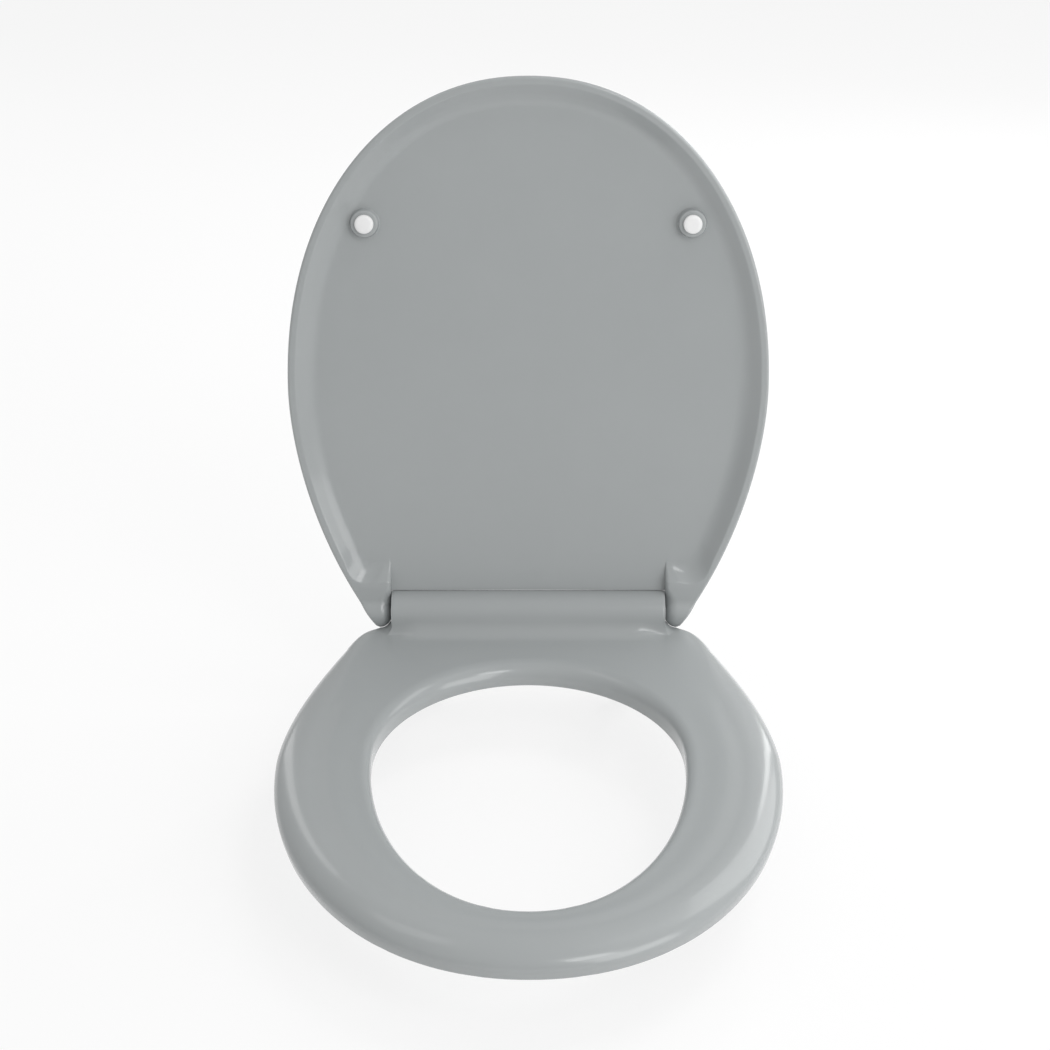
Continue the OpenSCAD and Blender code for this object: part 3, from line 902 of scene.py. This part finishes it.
ring = closed_band("seat_ring_shell", ring_grid())
tidy_mesh(ring)
cut(ring, ring_cavity())
mouth = arc(BORE_R, -45, 230, 40) + [(-15.4, -18.4), (-15.4, -40), (21.5, -40), (21.5, -14.5),
                                     (14, -14.5)]
cut(ring, prism("mouth", mouth[::-1], -103.8, 103.8))
back = [(-30, 20), (-30, -40), (3, -40), (3, -14), (2, -BORE_R), (0, 0),
        (30 * cos(radians(129)), 30 * sin(radians(129)))]
for sign in (-1, 1):
    cut(ring, prism("slot", back, *sorted((sign * 66.5, sign * 88.5))))
    cut(ring, turned("bore", [(0, 100), (6, 100), (6, 112), (0, 112)][::sign]
                     if sign > 0 else [(0, -112), (6, -112), (6, -100), (0, -100)],
                     (0, 0, 0), "across"))
tidy_mesh(ring)
hand_over(ring, "ring", "duroplast", GREY_SHELL, "seat_ring", "hinge_barrel")
centre = np.array([0.0, MID_S])
lid = closed_cap("lid_shell", opened(lid_grid()),
                 opened(np.append(centre, underside(centre, False))),
                 opened(np.append(centre, upper_side(centre))))
tidy_mesh(lid)
for sign in (-1, 1):
    cut(lid, turned("bore", [(0, 100), (6, 100), (6, 119.6), (0, 119.6)]
                    if sign > 0 else [(0, -119.6), (6, -119.6), (6, -100), (0, -100)],
                    (0, 0, 0), "across"))
tidy_mesh(lid)
hand_over(lid, "lid", "duroplast", GREY_SHELL, "lid", "lid_lug_left", "lid_lug_right")
AXIS = (0, 0, 0)
BASE = "mounting"


def finish(piece, body, slot, material, *replaced):
    tidy_mesh(piece)
    hand_over(piece, body, slot, material, *replaced)


def lay_pieces(side, sign):
    """Buffers, bosses and webs of one side."""
    collar = [(6.1, 109.0), (17.85, 109.0), (17.85, 110.35), (6.1, 110.35)]
    finish(turned("barrel_end_" + side, rounded(mirrored(collar, sign), 0.15), AXIS, "across"),
           "ring", "duroplast", GREY_SHELL)
    web = [(BUSH_R, 56), (15.4, 56), (15.4, 62), (BUSH_R, 62)]
    finish(turned("hinge_web_" + side, rounded(mirrored(web, sign), 0.5), AXIS, "across"),
           "ring", "duroplast", GREY_SHELL)
    for end, turn in RING_BUFFERS:
        across, ahead = buffer_spot(turn, sign)
        spot = (across, ahead, -AXIS_Z)
        boss = [(3, 7), (10.5, 7), (10.8, 17), (12.5, 20.5), (3, 20.5)]
        finish(turned("buffer_boss_" + end + "_" + side, rounded(boss, 0.6), spot),
               "ring", "duroplast", GREY_SHELL)
        pad = [(0, 0.5), (5.2, 0.5), (5.8, 0), (8, 0), (9, 2), (9, 7), (3.1, 7), (3, 12.5),
               (0, 12.5)]
        name = "ring_buffer_" + end + "_" + side
        finish(turned(name + "_pad", rounded(pad, 0.5), spot), "ring", "soft_rubber", RUBBER, name)
    spot = (sign * LID_BUFFER[0], LID_BUFFER[1], LID_RIM)
    boss = [(0, 12), (13.5, 12), (11.3, 8.3), (10.4, 3.2), (0, 3.2)]
    finish(turned("lid_boss_" + side, rounded(boss, 1.2, 6), spot, "up", 96, opened),
           "lid", "duroplast", GREY_SHELL)
    pad = [(0, -0.4), (5.2, -0.3), (7.3, 0.3), (7.3, 3.2), (3, 3.2), (3, 7), (0, 7)]
    name = "lid_buffer_" + side
    finish(turned(name + "_pad", rounded(pad, 0.9, 6), spot, "up", 96, opened),
           "lid", "buffer_white", BUFFER_WHITE, name)


def lay_hinge(side, sign):
    """Pin, bushes, post and fixing of one side."""
    mount = (sign * MOUNT_X, 0, -AXIS_Z)
    pin = [(0, 53.6), (6, 53.6), (6, 55.6), (4, 55.6), (4, 119.1), (0, 119.1)]
    name = "hinge_pin_" + side
    finish(turned(name + "_turned", rounded(mirrored(pin, sign), 0.6), AXIS, "across", 48),
           BASE, "steel", STEEL, name)
    for kind, body, start, end in (("ring_bush_inner_", "ring", 56, 62),
                                   ("ring_bush_outer_", "ring", 103.8, 109.6),
                                   ("lid_bush_", "lid", 110.6, 119.6)):
        bush = [(4.12, start), (BUSH_R, start), (BUSH_R, end), (4.12, end)]
        name = kind + side
        finish(turned(name + "_turned", rounded(mirrored(bush, sign), 0.35), AXIS, "across", 48),
               body, "bush_plastic", BUSH_PLASTIC, name)
    name = "hinge_post_" + side
    foot = [(0, 2), (19.6, 2), (20, 2.4), (20, 6.5), (18.5, 8), (0, 9)]
    post = turned(name + "_moulded", rounded(foot, 1.0), mount)
    neck = [(12, 7.2 - AXIS_Z), (9.2, 12 - AXIS_Z), (7.2, -15), (6.4, -8), (6, 0), (-6, 0),
            (-6.4, -8), (-7.2, -15), (-9.2, 12 - AXIS_Z), (-12, 7.2 - AXIS_Z)]
    neck = prism("neck", neck, mount[0] - 7, mount[0] + 7)
    tidy_mesh(neck)
    bevel(neck, 1.4, 4, 50)
    cut(post, neck, "UNION")
    head = [(0, -8), (12.9, -8), (12.9, 8), (0, 8)]
    cut(post, turned("head", rounded(head, 1.2), (mount[0], 0, 0), "across"), "UNION")
    cut(post, turned("bore", [(0, -20), (4, -20), (4, 20), (0, 20)], (mount[0], 0, 0), "across", 48))
    cut(post, turned("socket", [(0, -1), (4.3, -1), (4.3, 14), (0, 14)], mount, "up", 48))
    finish(post, BASE, "post_plastic", POST_PLASTIC, name)
    name = "base_gasket_" + side
    gasket = [(4.8, 0), (20, 0), (20, 2), (4.8, 2)]
    finish(turned(name + "_ring", rounded(gasket, 0.6), mount), BASE, "soft_rubber", RUBBER, name)
    name = "fixing_stud_" + side
    finish(threaded(name + "_threaded", mount, 4.0, -48, 1.5), BASE, "steel", STEEL, name)
    shank = [(0, 1.2), (4.3, 1.2), (4.3, 14), (0, 14)]
    finish(turned("stud_shank_" + side, rounded(shank, 0.5), mount, "up", 48),
           BASE, "steel", STEEL)
    name = "cone_washer_" + side
    washer = [(4.1, -35), (11, -35), (11, -32.5), (6.5, -28), (4.1, -28)]
    finish(turned(name + "_moulded", rounded(washer, 0.7), mount), BASE, "soft_rubber", RUBBER, name)
    name = "wing_nut_" + side
    body = [(0, -43), (6.6, -43), (7.5, -37), (9.5, -36.5), (9.5, -35), (0, -35)]
    nut = turned(name + "_moulded", rounded(body, 0.6), mount)
    wing = [(-13.2, -36.2), (-14, -37), (-14, -40.5), (-12.6, -42.6), (-10.6, -43), (10.6, -43),
            (12.6, -42.6), (14, -40.5), (14, -37), (13.2, -36.2), (9, -37.6), (-9, -37.6)]
    wings = prism("wings", [(ahead, up - AXIS_Z) for ahead, up in wing], -1.5, 1.5)
    points = vertex_array(wings)
    turn_wing = np.column_stack([points[:, 1] + mount[0] * MM, points[:, 0], points[:, 2]])
    wings.data.vertices.foreach_set("co", turn_wing.ravel())
    tidy_mesh(wings)
    bevel(wings, 0.7, 3, 50)
    cut(nut, wings, "UNION")
    cut(nut, turned("bore", [(0, -50), (3.8, -50), (3.8, -30), (0, -30)], mount, "up", 40))
    finish(nut, BASE, "post_plastic", POST_PLASTIC, name)


for side, sign in SIGNS.items():
    lay_pieces(side, sign)
    lay_hinge(side, sign)


def photo_camera():
    """The camera that the photo was taken with, fitted to the outlines of the part."""
    tilt = radians(28.0)
    focal = 2269
    distance = 1843
    axis_row = 612
    axis_column = 528.2
    forward = Vector((0, cos(tilt), -sin(tilt)))
    up = Vector((0, sin(tilt), cos(tilt)))
    centre = PHOTO_SIZE / 2
    height = (axis_row - centre) * distance / focal
    side = -(axis_column - centre) * distance / focal
    place = Vector((side, 0, AXIS_Z)) + up * height - forward * distance
    data = bpy.data.cameras.new("photo_camera")
    data.sensor_width = 36
    data.lens = focal / PHOTO_SIZE * data.sensor_width
    data.clip_end = 20
    camera = bpy.data.objects.new("photo_camera", data)
    right = Vector((1, 0, 0))
    turn = Matrix((right, up, -forward)).transposed().to_4x4()
    camera.matrix_world = Matrix.Translation(place * MM) @ turn
    bpy.context.scene.collection.objects.link(camera)
    bpy.context.scene.camera = camera


def softbox(name, place, target, size, power, mirrored_in_gloss=True):
    """A rectangular lamp that faces a point and isn't seen itself. All in metres."""
    data = bpy.data.lights.new(name, "AREA")
    data.shape = "RECTANGLE"
    data.size, data.size_y = size
    data.energy = power
    lamp = bpy.data.objects.new(name, data)
    lamp.location = place
    way = Vector(target) - Vector(place)
    lamp.rotation_euler = way.to_track_quat("-Z", "Y").to_euler()
    lamp.visible_camera = False
    lamp.visible_glossy = mirrored_in_gloss
    bpy.context.scene.collection.objects.link(lamp)


def studio():
    """Softboxes, a pale world and a white floor that keeps the shadow."""
    middle = (0, -0.1, 0.15)
    softbox("key_top", (0.85, 0.25, 2.1), middle, (0.8, 0.8), 9, False)
    softbox("key_right", (1.4, 0.8, 1.2), middle, (1.3, 1.5), 9.8)
    softbox("right_rear", (0.95, 1.3, 0.7), middle, (0.14, 0.9), 1.6)
    softbox("rear_fill", (0.62, 1.3, 0.8), middle, (0.2, 0.3), 4, False)
    softbox("left_rear", (-1.0, 1.35, 0.95), middle, (0.26, 1.4), 1.7)
    softbox("top_left", (-0.9, 0.2, 2.1), middle, (0.7, 0.7), 1.2)
    softbox("left_front", (-1.9, -1.6, 1.2), middle, (1.2, 1.2), 0.4)
    softbox("right_front", (1.9, -1.9, 1.2), middle, (2.0, 1.8), 27)
    softbox("front_top", (0.85, -1.5, 2.0), middle, (0.75, 0.75), 7.2)
    world = bpy.data.worlds.new("studio")
    world.use_nodes = True
    bpy.context.scene.world = world
    background = world.node_tree.nodes["Background"]
    background.inputs["Color"].default_value = (1, 1, 1, 1)
    background.inputs["Strength"].default_value = 0.55
    bpy.ops.object.select_all(action="DESELECT")
    lowest = cad_box[0][2]
    bpy.ops.mesh.primitive_plane_add(size=12, location=(0, 0, lowest - 0.0005))
    floor = bpy.context.object
    floor.name = "floor"
    made = Finish("white_floor")
    path = "ShaderNodeLightPath"
    seen = made.node(path, output="Is Camera Ray").maximum(
        made.node(path, output="Is Glossy Ray")).maximum(
        made.node(path, output="Is Transmission Ray"))
    paint = made.node("ShaderNodeBsdfDiffuse", None,
                      {"Color": made.mix(made.noise(3), grey(0.93), grey(0.95))})
    white = made.node("ShaderNodeEmission", None, {"Color": (1, 1, 1, 1), "Strength": 1.0})
    both = made.node("ShaderNodeMixShader", None, {0: seen * 0.8, 1: paint, 2: white})
    made.node_output(both)
    floor.data.materials.append(made.material)


photo_camera()
studio()
bpy.context.scene.view_settings.view_transform = "Standard"
